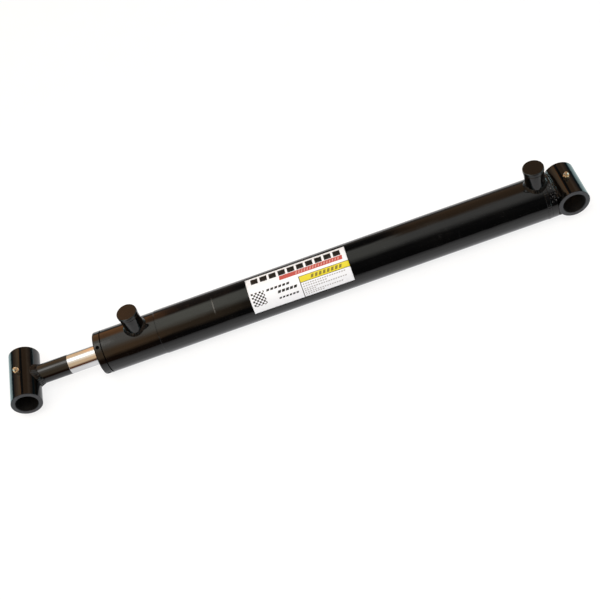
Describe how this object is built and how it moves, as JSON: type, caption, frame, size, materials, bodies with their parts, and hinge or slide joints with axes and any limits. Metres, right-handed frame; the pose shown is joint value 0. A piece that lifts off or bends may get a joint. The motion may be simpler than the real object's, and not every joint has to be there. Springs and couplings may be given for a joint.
{
  "type": "hydraulic cylinder",
  "caption": "Welded double-acting hydraulic cylinder with cross-tube pin mounts, plugged side ports, screwed gland and sliding chromed rod.",
  "frame": {"origin": "centre of the base-end pin bore", "axes": "+X along the cylinder axis towards the rod end, +Y along both pins, +Z the way both ports point"},
  "size_m": [0.8509, 0.0888, 0.0935],
  "materials": {
    "black_paint": "gloss black enamel over steel",
    "weld_paint": "gloss black enamel over weld beads",
    "hard_chrome": "hard-chromed and polished rod, black enamel on its outer stretch",
    "bright_steel": "turned steel, lightly oiled",
    "nipple_brass": "yellow-plated steel, brass-coloured",
    "gasket_rubber": "black nitrile rubber",
    "blue_polyurethane": "blue polyurethane seal",
    "bronze_ptfe": "bronze-filled PTFE ring",
    "acetal": "phenolic guide strip",
    "printed_label": "white printed vinyl with plain colour bars"
  },
  "bodies": {
    "barrel": {"barrel_tube": "black_paint", "base_cap": "black_paint", "base_cap_weld": "weld_paint", "base_cross_tube": "black_paint", "base_cross_tube_weld": "weld_paint", "base_grease_nipple": "nipple_brass", "base_nipple_spring": "bright_steel", "base_side_port_boss": "black_paint", "base_side_port_weld": "weld_paint", "base_side_port_plug": "black_paint", "base_side_port_o_ring": "gasket_rubber", "rod_side_port_boss": "black_paint", "rod_side_port_weld": "weld_paint", "rod_side_port_plug": "black_paint", "rod_side_port_o_ring": "gasket_rubber", "gland": "black_paint", "gland_o_ring": "gasket_rubber", "gland_backup_ring": "bronze_ptfe", "rod_wiper": "gasket_rubber", "rod_seal": "blue_polyurethane", "rod_guide_rings": "acetal", "label": "printed_label"},
    "piston_seals": {"piston_seal": "bronze_ptfe", "piston_seal_energizer": "gasket_rubber", "piston_wear_rings": "acetal"},
    "rod": {"piston_rod": "hard_chrome", "piston": "bright_steel", "piston_nut": "bright_steel", "piston_rod_o_ring": "gasket_rubber", "rod_cross_tube": "black_paint", "rod_cross_tube_weld": "weld_paint", "rod_grease_nipple": "nipple_brass", "rod_nipple_spring": "bright_steel"},
    "base_check_ball": {"base_nipple_ball": "bright_steel"},
    "rod_check_ball": {"rod_nipple_ball": "bright_steel"}
  },
  "joints": [
    {"name": "rod_slide", "type": "slide", "parent": "barrel", "child": "piston_seals", "axis": [1, 0, 0], "range_m": [-0.0381, 0.4699]},
    {"name": "rod_spin", "type": "hinge", "parent": "piston_seals", "child": "rod", "pos_m": [0.4, 0, 0], "axis": [1, 0, 0], "continuous": true},
    {"name": "base_nipple_check", "type": "slide", "parent": "barrel", "child": "base_check_ball", "axis": [0.0872, 0, -0.9962], "range_m": [0, 0.0008], "stiffness_N_per_m": 500, "springref_m": -0.001, "deforming": ["base_nipple_spring"]},
    {"name": "rod_nipple_check", "type": "slide", "parent": "rod", "child": "rod_check_ball", "axis": [-0.0872, 0, -0.9962], "range_m": [0, 0.0008], "stiffness_N_per_m": 500, "springref_m": -0.001, "deforming": ["rod_nipple_spring"]}
  ]
}
